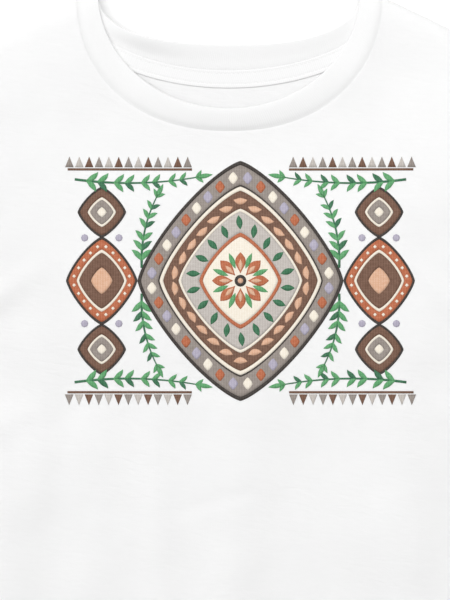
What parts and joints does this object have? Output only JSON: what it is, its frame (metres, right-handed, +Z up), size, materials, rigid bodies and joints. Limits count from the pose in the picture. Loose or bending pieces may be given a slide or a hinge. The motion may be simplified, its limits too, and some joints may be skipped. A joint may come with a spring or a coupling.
{
  "type": "crew-neck T-shirt",
  "caption": "White crew-neck short-sleeve cotton T-shirt with a printed chest, lying flat on its back",
  "frame": {"origin": "on the floor, under the middle of the shirt's outline", "axes": "+X to the wearer's left, +Y from the hem to the neck, +Z up, off the floor and out of the shirt's front"},
  "size_m": [0.8046, 0.716, 0.0286],
  "materials": {
    "jersey": "matte cotton single jersey",
    "rib": "matte cotton one-by-one rib",
    "tape": "matte cotton twill tape"
  },
  "bodies": {
    "root": {"front_panel": "jersey", "back_panel": "jersey", "hem_front": "jersey", "hem_back": "jersey", "sleeve_left_front": "jersey", "sleeve_left_back": "jersey", "sleeve_hem_left_front": "jersey", "sleeve_hem_left_back": "jersey", "sleeve_right_front": "jersey", "sleeve_right_back": "jersey", "sleeve_hem_right_front": "jersey", "sleeve_hem_right_back": "jersey", "neckband_front": "rib", "neckband_back": "rib", "neck_tape": "tape"}
  },
  "joints": []
}
